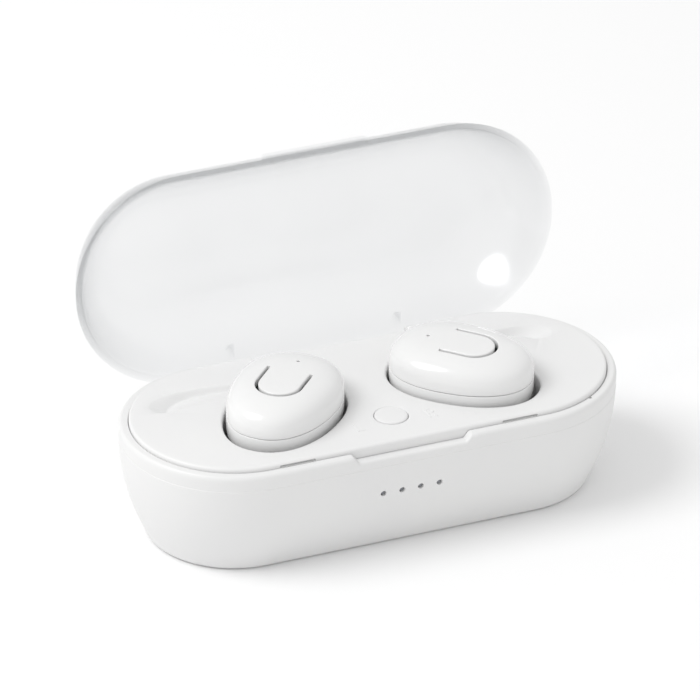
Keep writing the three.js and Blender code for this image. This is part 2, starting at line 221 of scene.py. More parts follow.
def lathe(name, profile, cx=0.0, cy=0.0, sides=64, closed=False):
    return loft(name, [round_loop(r, z, cx, cy, sides) for r, z in profile], closed)


def rounded_rect(hx, hy, radius, grow=0.0, steps=6):
    """Corner-rounded rectangle about the origin, grown outwards by grow."""
    hx, hy, radius = hx + grow, hy + grow, radius + grow
    points = []
    for sx, sy, start in ((1, 1, 0), (-1, 1, 90), (-1, -1, 180), (1, -1, 270)):
        for i in range(steps + 1):
            t = math.radians(start + 90 * i / steps)
            x = sx * (hx - radius) + radius * math.cos(t)
            y = sy * (hy - radius) + radius * math.sin(t)
            points.append((x, y))
    return points


def arc(cx, cz, radius, start, end, steps):
    turn = [math.radians(start + (end - start) * i / steps) for i in range(steps + 1)]
    return [(cx + radius * math.cos(t), cz + radius * math.sin(t)) for t in turn]


def bezier(p0, p1, p2, p3, steps):
    points = []
    for i in range(steps + 1):
        t = i / steps
        w = ((1 - t) ** 3, 3 * t * (1 - t) ** 2, 3 * t * t * (1 - t), t**3)
        points.append(tuple(sum(w[k] * p[c] for k, p in enumerate((p0, p1, p2, p3))) for c in (0, 1)))
    return points


def flare(radius, steps=5):
    """(depth below the surface, outward growth) pairs for a rounded mouth."""
    rows = []
    for i in range(steps + 1):
        t = math.pi / 2 * i / steps
        rows.append((radius * (1 - math.sin(t)), radius * (1 - math.cos(t))))
    return rows


def box_solid(name, low, high):
    (x0, y0, z0), (x1, y1, z1) = low, high
    loop = [(x0, y0), (x1, y0), (x1, y1), (x0, y1)]
    return loft(name, [[(x, y, z) for x, y in loop] for z in (z0, z1)])


def boolean(target, tool, operation):
    for solver in ("MANIFOLD", "EXACT"):
        modifier = target.modifiers.new("cut", "BOOLEAN")
        modifier.operation = operation
        modifier.object = tool
        modifier.solver = solver
        bpy.context.view_layer.update()
        graph = bpy.context.evaluated_depsgraph_get()
        mesh = bpy.data.meshes.new_from_object(target.evaluated_get(graph))
        target.modifiers.clear()
        if len(mesh.polygons) > 0:
            break
    target.data = mesh
    bpy.data.objects.remove(tool)
    return target


def cut(target, *tools):
    for tool in tools:
        boolean(target, tool, "DIFFERENCE")
    return target


def join(target, *tools):
    for tool in tools:
        boolean(target, tool, "UNION")
    return target


def moved(obj, matrix):
    obj.data.transform(matrix)
    if matrix.determinant() < 0:
        obj.data.flip_normals()
    return obj


def place(obj, material, body, node=None, sharp_deg=32.0):
    """Scales a millimetre piece to metres, cleans and shades it, and puts it on its body."""
    bm = bmesh.new()
    bm.from_mesh(obj.data)
    bmesh.ops.remove_doubles(bm, verts=bm.verts, dist=2e-4)
    bmesh.ops.dissolve_degenerate(bm, dist=1e-4, edges=bm.edges)
    bm.to_mesh(obj.data)
    bm.free()
    obj.data.transform(Matrix.Scale(MM, 4))
    obj.data.shade_smooth()
    obj.data.set_sharp_from_angle(angle=math.radians(sharp_deg))
    obj.data.materials.clear()
    obj.data.materials.append(material)
    if body:
        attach(obj, body)
    if node:
        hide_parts(node)
    return obj


# ---------------------------------------------------------------- materials
def new_material(name):
    material = bpy.data.materials.new(name)
    material.use_nodes = True
    tree = material.node_tree
    return material, tree, tree.nodes["Principled BSDF"]


def noise(tree, scale, detail=2.0, rough=0.5, distortion=0.0):
    coord = tree.nodes.new("ShaderNodeTexCoord")
    node = tree.nodes.new("ShaderNodeTexNoise")
    node.inputs["Scale"].default_value = scale
    node.inputs["Detail"].default_value = detail
    node.inputs["Roughness"].default_value = rough
    node.inputs["Distortion"].default_value = distortion
    tree.links.new(coord.outputs["Object"], node.inputs["Vector"])
    return node.outputs["Fac"]


def remap(tree, value, low, high, from_low=0.3, from_high=0.7):
    node = tree.nodes.new("ShaderNodeMapRange")
    node.inputs["From Min"].default_value = from_low
    node.inputs["From Max"].default_value = from_high
    node.inputs["To Min"].default_value = low
    node.inputs["To Max"].default_value = high
    tree.links.new(value, node.inputs["Value"])
    return node.outputs["Result"]


def tint(tree, factor, low, high):
    node = tree.nodes.new("ShaderNodeMix")
    node.data_type = "RGBA"
    node.inputs["A"].default_value = (*low, 1)
    node.inputs["B"].default_value = (*high, 1)
    tree.links.new(factor, node.inputs["Factor"])
    return node.outputs["Result"]


def bump(tree, shader, height, strength, distance):
    node = tree.nodes.new("ShaderNodeBump")
    node.inputs["Strength"].default_value = strength
    node.inputs["Distance"].default_value = distance
    tree.links.new(height, node.inputs["Height"])
    tree.links.new(node.outputs["Normal"], shader.inputs["Normal"])


def moulded(name, dark, light, rough, grain, grain_depth, coat=0.0, sub=0.0, metallic=0.0):
    """Moulded plastic, rubber or bare metal: slight colour drift, uneven gloss, fine grain."""
    material, tree, shader = new_material(name)
    drift = noise(tree, 45.0, 3.0)
    tree.links.new(tint(tree, remap(tree, drift, 0, 1), dark, light), shader.inputs["Base Color"])
    gloss = noise(tree, 160.0, 4.0, 0.6)
    tree.links.new(remap(tree, gloss, rough[0], rough[1]), shader.inputs["Roughness"])
    bump(tree, shader, noise(tree, grain, 3.0, 0.6), 0.35, grain_depth)
    shader.inputs["Coat Weight"].default_value = coat
    shader.inputs["Coat Roughness"].default_value = 0.05
    shader.inputs["Metallic"].default_value = metallic
    shader.inputs["IOR"].default_value = 1.48
    if sub:
        shader.inputs["Subsurface Weight"].default_value = sub
        shader.inputs["Subsurface Radius"].default_value = (0.004, 0.0035, 0.003)
        shader.inputs["Subsurface Scale"].default_value = 1.0
    return material


def clear_plastic(name):
    material, tree, shader = new_material(name)
    drift = noise(tree, 60.0, 2.0)
    tree.links.new(
        tint(tree, remap(tree, drift, 0, 1), (0.955, 0.957, 0.96), (0.97, 0.972, 0.974)),
        shader.inputs["Base Color"],
    )
    tree.links.new(remap(tree, noise(tree, 220.0, 3.0), 0.015, 0.045), shader.inputs["Roughness"])
    bump(tree, shader, noise(tree, 90.0, 1.0), 0.15, 0.00002)
    shader.inputs["Transmission Weight"].default_value = 1.0
    shader.inputs["IOR"].default_value = 1.0
    shader.inputs["Coat Weight"].default_value = 1.0
    shader.inputs["Coat IOR"].default_value = 1.45
    shader.inputs["Coat Roughness"].default_value = 0.14
    inside = tree.nodes.new("ShaderNodeVolumeAbsorption")
    inside.inputs["Color"].default_value = (0.78, 0.785, 0.79, 1)
    inside.inputs["Density"].default_value = 270.0
    tree.links.new(inside.outputs["Volume"], tree.nodes["Material Output"].inputs["Volume"])
    through = tree.nodes.new("ShaderNodeBsdfTransparent")
    through.inputs["Color"].default_value = (0.9, 0.905, 0.91, 1)
    path = tree.nodes.new("ShaderNodeLightPath")
    mix = tree.nodes.new("ShaderNodeMixShader")
    tree.links.new(path.outputs["Is Shadow Ray"], mix.inputs["Fac"])
    tree.links.new(shader.outputs["BSDF"], mix.inputs[1])
    tree.links.new(through.outputs["BSDF"], mix.inputs[2])
    tree.links.new(mix.outputs["Shader"], tree.nodes["Material Output"].inputs["Surface"])
    return material


SHELL_WHITE = moulded("shell_plastic", (0.775, 0.775, 0.775), (0.795, 0.795, 0.79), (0.36, 0.44), 5200,
                      4e-6)
TRAY_WHITE = moulded("tray_plastic", (0.785, 0.785, 0.785), (0.805, 0.805, 0.80), (0.42, 0.5), 5200, 4e-6)
BUD_WHITE = moulded("bud_plastic", (0.80, 0.80, 0.80), (0.82, 0.82, 0.815), (0.16, 0.22), 1500, 1e-6,
                    coat=0.6)
LID_CLEAR = clear_plastic("lid_plastic")
STEEL = moulded("turned_steel", (0.52, 0.53, 0.55), (0.60, 0.61, 0.63), (0.22, 0.34), 2600, 3e-6,
                metallic=1.0)
GOLD = moulded("gold_plate", (0.80, 0.56, 0.20), (0.86, 0.63, 0.27), (0.18, 0.30), 2600, 2e-6, metallic=1.0)
SILICONE = moulded("soft_silicone", (0.76, 0.76, 0.755), (0.80, 0.80, 0.795), (0.55, 0.68), 2400, 6e-6)
DIFFUSER = moulded("light_guide_acrylic", (0.19, 0.20, 0.22), (0.26, 0.27, 0.29), (0.25, 0.4), 2000, 3e-6)
BLACK = moulded("black_nylon", (0.012, 0.012, 0.014), (0.022, 0.022, 0.024), (0.4, 0.55), 3000, 5e-6)
FOAM = moulded("pu_foam", (0.015, 0.015, 0.017), (0.05, 0.05, 0.055), (0.9, 1.0), 1800, 9e-5)
MAGNET = moulded("nickel_plate", (0.42, 0.42, 0.43), (0.5, 0.5, 0.51), (0.28, 0.42), 2200, 3e-6,
                 metallic=1.0)
WRAP = moulded("battery_wrap", (0.36, 0.37, 0.39), (0.46, 0.47, 0.49), (0.3, 0.5), 700, 3e-5, metallic=0.7)
LED_LENS = moulded("led_lens", (0.86, 0.78, 0.42), (0.92, 0.85, 0.52), (0.2, 0.3), 1500, 2e-6)


def board_material():
    """Solder mask with a faintly mottled green and small pale pads."""
    material, tree, shader = new_material("solder_mask")
    coord = tree.nodes.new("ShaderNodeTexCoord")
    cells = tree.nodes.new("ShaderNodeTexVoronoi")
    cells.distance = "CHEBYCHEV"
    cells.inputs["Scale"].default_value = 700
    tree.links.new(coord.outputs["Object"], cells.inputs["Vector"])
    pads = remap(tree, cells.outputs["Distance"], 1, 0, 0.12, 0.16)
    green = tint(tree, remap(tree, noise(tree, 500, 3.0), 0, 1), (0.012, 0.085, 0.045), (0.022, 0.13, 0.07))
    node = tree.nodes.new("ShaderNodeMix")
    node.data_type = "RGBA"
    node.inputs["B"].default_value = (0.55, 0.5, 0.34, 1)
    tree.links.new(pads, node.inputs["Factor"])
    tree.links.new(green, node.inputs["A"])
    tree.links.new(node.outputs["Result"], shader.inputs["Base Color"])
    tree.links.new(remap(tree, noise(tree, 900, 2.0), 0.3, 0.5), shader.inputs["Roughness"])
    bump(tree, shader, pads, 0.5, 4e-5)
    return material


def mesh_material():
    """Woven acoustic mesh: two crossed sets of fine wires."""
    material, tree, shader = new_material("acoustic_mesh")
    coord = tree.nodes.new("ShaderNodeTexCoord")
    heights = []
    for axis in ("X", "Y"):
        wave = tree.nodes.new("ShaderNodeTexWave")
        wave.bands_direction = axis
        wave.inputs["Scale"].default_value = 900
        tree.links.new(coord.outputs["Object"], wave.inputs["Vector"])
        heights.append(wave.outputs["Fac"])
    join_node = tree.nodes.new("ShaderNodeMath")
    join_node.operation = "MAXIMUM"
    tree.links.new(heights[0], join_node.inputs[0])
    tree.links.new(heights[1], join_node.inputs[1])
    weave = join_node.outputs["Value"]
    tree.links.new(tint(tree, weave, (0.01, 0.01, 0.011), (0.22, 0.22, 0.23)), shader.inputs["Base Color"])
    tree.links.new(remap(tree, weave, 0.7, 0.35, 0, 1), shader.inputs["Roughness"])
    shader.inputs["Metallic"].default_value = 0.8
    bump(tree, shader, weave, 0.6, 5e-5)
    return material


BOARD = board_material()
MESH = mesh_material()

CAD_LOOKS = {
    "black": (BLACK, ["power_switch", "left_bud_switch", "right_bud_switch"]),
    "board": (BOARD, ["button_board", "main_board", "led_board", "left_bud_board", "right_bud_board",
                      "left_contact_board", "right_contact_board"]),
    "foam": (FOAM, ["battery_foam"]),
    "wrap": (WRAP, ["case_battery", "left_bud_battery", "right_bud_battery"]),
    "diffuser": (DIFFUSER, ["light_guide"]),
    "led": (LED_LENS, [f"status_led_{i}" for i in (1, 2, 3, 4)]),
    "magnet": (MAGNET, ["left_bud_speaker", "right_bud_speaker", "left_bud_magnet", "right_bud_magnet",
                        "left_case_magnet", "right_case_magnet"]),
    "mesh": (MESH, ["left_bud_nozzle_mesh", "right_bud_nozzle_mesh"]),
    "gold": (GOLD, [f"{side}_bud_contact_{k}" for side in ("left", "right") for k in "ab"]),
    "steel": (STEEL, ["usb_socket", "hinge_pin"]),
}
for look, names in CAD_LOOKS.values():
    for name in names:
        slots = NODES[name].data.materials
        for i in range(len(slots)):
            slots[i] = look


# ---------------------------------------------------------------- lower case shell
def shell_radius(z):
    return BASE_R - (BASE_R - FOOT_R) * max(0.0, 1 - z / BELLY_Z) ** BELLY_POWER


def flank(z0, z1, inset, steps):
    rows = [z0 + (z1 - z0) * i / steps for i in range(steps + 1)]
    return [(shell_radius(z) - inset, z) for z in rows]


def ellipse_arc(cx, cz, rx, rz, start, end, steps):
    turn = [math.radians(start + (end - start) * i / steps) for i in range(steps + 1)]
    return [(cx + rx * math.cos(t), cz + rz * math.sin(t)) for t in turn]


def build_shell():
    foot = shell_radius(1.2) - FOOT_FILLET
    profile = [(foot - 4.0, 0.0), *arc(foot, FOOT_FILLET, FOOT_FILLET, -90, -14, 7)]
    profile += flank(1.7, SEAM_Z - 0.02, 0, 24)
    for share in (0.0, 0.25, 0.5, 0.75, 1.0):
        z = SEAM_Z + 0.03 + share * (17.6 - SEAM_Z)
        profile.append((shell_radius(z) - SEAM_STEP * (1 - share), z))
    profile += ellipse_arc(16.95, 17.85, BASE_R - 16.95, RIM_Z - 17.85, 10, 90, 7)
    profile += [(SEAT_R + 0.08, RIM_Z), (SEAT_R, RIM_Z - 0.08), (SEAT_R, SEAT_Z)]
    profile += [(shell_radius(16.4) - WALL, SEAT_Z), *reversed(flank(2.9, 16.2, WALL, 8))]
    profile += [(shell_radius(WALL) - WALL - 1.2, WALL), (foot - 5.0, WALL)]
    shell = pill("case_shell", profile)
    block = box_solid("block", (-16, 13.9, 11), (16, 17.35, SEAT_Z))
    boolean(block, pill("inside", [(FOOT_R - 2, 1.0), *flank(1.7, 17.7, 0.3, 26), (BASE_R - 0.3, 19.0)]),
            "INTERSECT")
    join(shell, block)

    tools = []
    floor_z = HINGE_Z - KNUCKLE_R - 0.35
    rows = [(15.2, 0.0), (BASE_R - 0.75, 0.0), (BASE_R - 0.52, 0.03), (BASE_R - 0.33, 0.12),
            (BASE_R - 0.2, 0.26),
            (BASE_R - 0.12, 0.5), (20.0, 0.5)]
    tools.append(loft("recess", [
        [(x, y, 20 + floor_z + z) for x, z in rounded_rect(13.0, 20.0, 0.45, grow)] for y, grow in rows]))
    tools.append(cutter_notch())
    tools.append(loft("pin_bore", [
        [(x, HINGE_Y + p[0], HINGE_Z + p[1]) for p in rounded_rect(PIN_R + 0.12, PIN_R + 0.12,
                                                                   PIN_R + 0.12)]
        for x in (-PIN_HALF - 0.2, PIN_HALF + 0.2)]))
    usb_y = shell_radius(5.25)
    rows = [(-10.0, 0.0), (-0.75, 0.0), (-0.4, 0.06), (-0.15, 0.22), (0.02, 0.45), (3.0, 0.9)]
    tools.append(loft("usb_mouth", [
        [(x, usb_y + dy, 5.25 + z) for x, z in rounded_rect(4.1, 1.65, 1.5, grow)] for dy, grow in rows]))
    for i in range(4):
        x = (i - 1.5) * LED_PITCH
        y = -shell_radius(LED_Z)
        rows = [(4.0, 0.43), (0.3, 0.43), (0.1, 0.45), (0.0, 0.52), (-2.0, 0.9)]
        tools.append(loft("led_hole", [
            [(x + r * math.cos(t), y + dy, LED_Z + r * math.sin(t)) for t in np.linspace(0, 2 * math.pi,
                                                                                         33)[:-1]]
            for dy, r in rows]))
    tools.append(lathe("pinhole", [(0.26, RIM_Z - 1.3), (0.26, RIM_Z - 0.1), (0.36, RIM_Z + 0.02),
                                   (0.6, RIM_Z + 1)],
                       *PINHOLE, 24))
    cut(shell, *tools)
    return shell


def cutter_notch():
    """The front notch in the ledge: a shallow trough whose ends slope and whose lip is rounded."""
    stations = []
    half = NOTCH_HALF
    ends = [(half - 0.35, 0.0), (half - 0.12, 0.05), (half + 0.08, 0.25), (half + 0.55, 0.83),
            (half + 0.68, 0.98),
            (half + 0.88, 1.07), (half + 1.2, 1.12), (half + 1.6, 1.6)]
    rows = [(-x, rise) for x, rise in reversed(ends)] + [(x, rise) for x, rise in ends]
    for x, rise in rows:
        z = NOTCH_Z + rise
        radius = 0.5
        section = [(-SEAT_R + 0.6, ABOVE), (-SEAT_R + 0.6, z)]
        edge = -BASE_R + 0.02
        section += [(edge + radius - radius * math.sin(t), z - radius * (1 - math.cos(t)))
                    for t in np.linspace(0, math.pi / 2 * 0.9, 6)]
        section += [(edge - 0.06, z - radius - 0.3), (-19.5, z - radius - 0.3), (-19.5, ABOVE)]
        stations.append([(x, y, zz) for y, zz in section])
    return loft("notch", stations)


place(build_shell(), SHELL_WHITE, "base", "lower_case_shell")


# ---------------------------------------------------------------- inner tray
def bud_matrix(side):
    """From an earbud's own frame, u along it and v across it, to the case's frame."""
    turn = Matrix.Translation((-BUD_X, BUD_Y, 0)) @ Matrix.Rotation(BUD_TURN, 4, "Z")
    return Matrix.Scale(-side, 4, (1, 0, 0)) @ turn


CHANNEL_OUTLINE = [(15.2, 8.6), (19.4, 9.1), (23.2, 9.5), (27.4, 9.6), (29.9, 9.4), (31.8, 8.8),
                   (32.9, 8.1), (33.6, 7.1),
                   (33.4, 5.9), (32.7, 4.9), (31.9, 4.7), (31.0, 4.75), (29.0, 5.0), (25.0, 5.3),
                   (20.0, 5.3), (15.2, 5.0)]
CHANNEL_VALLEY = [(30.9, 5.8, 1.1), (30.6, 6.8, 1.25), (30.0, 7.6, 1.3), (28.9, 8.3, 1.3), (27.4, 8.8, 1.2),
                  (25.0, 8.9, 1.0), (22.0, 8.7, 0.9), (18.5, 8.2, 0.8), (15.0, 7.4, 0.8)]


def spline(points, per_span=8):
    """Catmull-Rom through points of any number of coordinates."""
    pts = np.asarray(points, float)
    pts = np.vstack([2 * pts[0] - pts[1], pts, 2 * pts[-1] - pts[-2]])
    out = []
    for i in range(1, len(pts) - 2):
        for k in range(per_span):
            t = k / per_span
            p0, p1, p2, p3 = pts[i - 1:i + 3]
            out.append(0.5 * (2 * p1 + (p2 - p0) * t + (2 * p0 - 5 * p1 + 4 * p2 - p3) * t * t
                              + (3 * p1 - p0 - 3 * p2 + p3) * t**3))
    out.append(pts[-2])
    return np.array(out)


def segment_distance(points, line):
    """Distance from each point to a polyline, and the place along it as (segment, share)."""
    a, b = line[:-1, :2], line[1:, :2]
    d = b - a
    best = np.full(len(points), 1e9)
    where = np.zeros(len(points))
    for i in range(len(a)):
        t = np.clip(((points - a[i]) @ d[i]) / max(d[i] @ d[i], 1e-12), 0, 1)
        e = np.hypot(*(points - a[i] - t[:, None] * d[i]).T)
        near = e < best
        best[near] = e[near]
        where[near] = i + t[near]
    return best, where


def inside(points, line):
    x, y = points.T
    found = np.zeros(len(points), bool)
    for (x0, y0), (x1, y1) in zip(line, np.roll(line, -1, axis=0)):
        crosses = (y0 > y) != (y1 > y)
        if y1 != y0:
            found ^= crosses & (x < (x1 - x0) * (y - y0) / (y1 - y0) + x0)
    return found


def cutter_channel(side):
    """A shallow scoop for an earbud's wing: a steep back wall and a floor that rises to the front."""
    outline = spline(CHANNEL_OUTLINE)
    valley = spline(CHANNEL_VALLEY)
    xs = np.arange(15.2, 34.4, 0.16)
    ys = np.arange(3.9, 10.6, 0.16)
    gx, gy = np.meshgrid(xs, ys, indexing="ij")
    points = np.stack([gx.ravel(), gy.ravel()], 1)
    edge, _ = segment_distance(points, outline)
    deep, where = segment_distance(points, valley)
    index = np.clip(where.astype(int), 0, len(valley) - 2)
    share = (where - index)[:, None]
    depth = (valley[index] * (1 - share) + valley[index + 1] * share)[:, 2]
    edge = np.where(inside(points, outline), edge, -edge)
    field = np.where(edge > 0, depth * edge / np.maximum(edge + deep, 1e-6), 0.25 * edge)
    field = field.reshape(gx.shape)
    for _ in range(2):
        pad = np.pad(field, 1, mode="edge")
        field = (pad[1:-1, 1:-1] * 2 + pad[:-2, 1:-1] + pad[2:, 1:-1] + pad[1:-1, :-2] + pad[1:-1, 2:]) / 6
    field -= 0.02
    nx, ny = gx.shape
    low = np.stack([side * gx, gy, DECK_Z - field], -1).reshape(-1, 3)
    high = np.stack([side * gx, gy, np.full_like(gx, DECK_Z + 2)], -1).reshape(-1, 3)
    faces = []
    n = nx * ny
    for i in range(nx - 1):
        for j in range(ny - 1):
            a, b, c, d = i * ny + j, (i + 1) * ny + j, (i + 1) * ny + j + 1, i * ny + j + 1
            faces.append((a, b, c, d))
            faces.append((n + a, n + d, n + c, n + b))
    ring = ([i * ny for i in range(nx)] + [(nx - 1) * ny + j for j in range(1, ny)]
            + [i * ny + ny - 1 for i in range(nx - 2, -1, -1)] + [j for j in range(ny - 2, 0, -1)])
    for a, b in zip(ring, ring[1:] + ring[:1]):
        faces.append((a, n + a, n + b, b))
    return mesh_object("channel", np.vstack([low, high]), faces)


def stroke(line, width=0.3, rise=0.07):
    """A raised line of a letter on the deck."""
    pts = np.asarray(line, float)
    along = np.gradient(pts, axis=0)
    along /= np.hypot(*along.T)[:, None]
    normal = np.stack([-along[:, 1], along[:, 0]], 1)
    rows = [(DECK_Z - 0.3, 0.5), (DECK_Z + rise * 0.5, 0.5), (DECK_Z + rise, 0.36)]
    return loft("stroke", [[(x, y, z) for x, y in [*(pts + width * k * normal),
                                                   *(pts - width * k * normal)[::-1]]]
                           for z, k in rows])


def side_marks():
    low, high = MARK_Y - 1.25, MARK_Y + 1.25
    x = -MARK_X - 0.5
    marks = [stroke([(x, low), (x, high)]), stroke([(x - 0.15, low + 0.15), (x + 1.1, low + 0.15)])]
    x = MARK_X - 0.5
    bowl = [(x, high - 0.15), (x + 0.5, high - 0.15)]
    bowl += [(x + 0.5 + 0.55 * math.cos(t), high - 0.72 + 0.57 * math.sin(t)) for t in np.linspace(1.4,
                                                                                                   -1.4,
                                                                                                   11)]
    bowl += [(x + 0.5, high - 1.29), (x, high - 1.29)]
    return marks + [stroke([(x, low), (x, high)]), stroke(bowl),
                    stroke([(x + 0.45, high - 1.25), (x + 1.1, low)])]


def build_tray():
    top = DECK_Z
    profile = [(10.0, DECK_UNDER_Z), (14.9, DECK_UNDER_Z), (14.9, SKIRT_Z), (DECK_R - 0.1, SKIRT_Z),
               (DECK_R, SKIRT_Z + 0.1)]
    profile += [(DECK_R, 18.4)]
    profile += arc(DECK_R - 0.45, top - 0.45, 0.45, 0, 90, 7)
    profile += [(DECK_R - 1.2, top), (10.0, top)]
    tray = pill("inner_tray_body", profile)
    for side in (-1, 1):
        matrix = bud_matrix(side)
        cup = loft("cup", [oval_loop(POCKET_A + g, POCKET_B + g, z, POCKET_LEAN, POCKET_U, POCKET_V) for z,
                           g in
                           ((POCKET_FLOOR - 1.2, 0.2), (POCKET_FLOOR - 0.9, 0.75),
                            (POCKET_FLOOR - 0.4, 1.0),
                            (DECK_UNDER_Z + 0.5, 1.0))])
        tip = lathe("tip_cup", [(TIP_POCKET_R + 0.3, TIP_POCKET_FLOOR - 0.9),
                                (TIP_POCKET_R + 0.9, TIP_POCKET_FLOOR - 0.3),
                                (TIP_POCKET_R + 0.9, POCKET_FLOOR)], NOZZLE_U, 0, 64)
        join(tray, moved(cup, matrix), moved(tip, matrix))
    tools = []
    back = [(DECK_UNDER_Z - 8, 0.0), (top - 0.4, 0.0)] + [(top - d, g) for d,
                                                          g in flare(0.4)][1:] + [(top + 3, 0.4)]
    tools.append(loft("tray_recess", [
        [(x, 14.9 + 10 + y, z) for x, y in rounded_rect(13.0, 10.0, 0.35, grow)] for z, grow in back]))
    hole = [(BUTTON_R + 0.08, 10.0), (BUTTON_R + 0.08, top - 0.22)]
    hole += [(BUTTON_R + 0.08 + g, top - d) for d, g in flare(0.22)][1:] + [(BUTTON_R + 0.38, top + 3)]
    tools.append(lathe("button_hole", hole, 0, BUTTON_Y, 96))
    for side in (-1, 1):
        matrix = bud_matrix(side)
        rows = [(POCKET_FLOOR, -1.3), (POCKET_FLOOR + 0.12, -0.8), (POCKET_FLOOR + 0.5, -0.25),
                (POCKET_FLOOR + 1.2, 0.0)]
        rows += [(top - 0.45, 0.0)] + [(top - d, g) for d, g in flare(0.45, 7)][1:] + [(top + 3, 0.45)]
        pocket = loft("pocket", [oval_loop(POCKET_A + g, POCKET_B + g, z, POCKET_LEAN, POCKET_U, POCKET_V)
                                 for z, g in rows])
        tip = lathe("tip_pocket", [(TIP_POCKET_R - 0.9, TIP_POCKET_FLOOR),
                                   (TIP_POCKET_R - 0.25, TIP_POCKET_FLOOR + 0.3),
                                   (TIP_POCKET_R, TIP_POCKET_FLOOR + 1.0),
                                   (TIP_POCKET_R, POCKET_FLOOR - 0.3),
                                   (TIP_POCKET_R + 0.1, POCKET_FLOOR - 0.1),
                                   (TIP_POCKET_R + 0.3, POCKET_FLOOR + 0.02),
                                   (TIP_POCKET_R + 0.3, POCKET_FLOOR + 0.6)], NOZZLE_U, 0, 64)
        tools += [moved(pocket, matrix), moved(tip, matrix)]
        for v in (-CONTACT_V, CONTACT_V):
            bore = lathe("pin_hole", [(0.72, 5.0), (0.72, POCKET_FLOOR - 0.15), (0.9, POCKET_FLOOR + 0.03),
                                      (0.9, POCKET_FLOOR + 0.5)], CONTACT_U, v, 32)
            tools.append(moved(bore, matrix))
        tools.append(cutter_channel(side))
        rows = [(-DECK_R + 0.55, 0.0), (-DECK_R + 0.1, 0.0), (-DECK_R + 0.03, 0.03), (-18.0, 0.03)]
        tools.append(loft("snap_slot", [
            [(side * SNAP_X + x, y, SLOT_Z + z) for x, z in rounded_rect(2.9, 0.16, 0.1, grow)] for y,
            grow in rows]))
    cut(tray, *tools)
    return join(tray, *side_marks())


place(build_tray(), TRAY_WHITE, "base", "inner_tray")


# ---------------------------------------------------------------- power button
def build_button():
    top = button_high[2]
    profile = [(1.0, 16.8), (BUTTON_R + 0.55, 16.8), (BUTTON_R + 0.6, 16.85), (BUTTON_R + 0.6, 17.35),
               (BUTTON_R + 0.55, 17.4), (BUTTON_R, 17.4)]
    profile += [(BUTTON_R, DECK_Z - 0.15), *arc(BUTTON_R - 0.28, DECK_Z - 0.15, 0.28, 10, 70, 5)]
    profile += [(r, top - 0.06 * (r / 2.3) ** 2) for r in (2.2, 1.7, 1.2, 0.8, 0.4, 0.1)]
    return lathe("power_button_cap", profile, 0, BUTTON_Y, 96)


place(build_button(), TRAY_WHITE, "power_button", "power_button")


# ---------------------------------------------------------------- lid, drawn shut and then opened
def lid_matrix():
    shut = Matrix.Translation((0, -HINGE_Y, -HINGE_Z))
    turn = Matrix.Rotation(math.radians(-OPEN_DEG), 4, "X")
    return Matrix.Translation((0, HINGE_Y, HINGE_Z)) @ turn @ shut


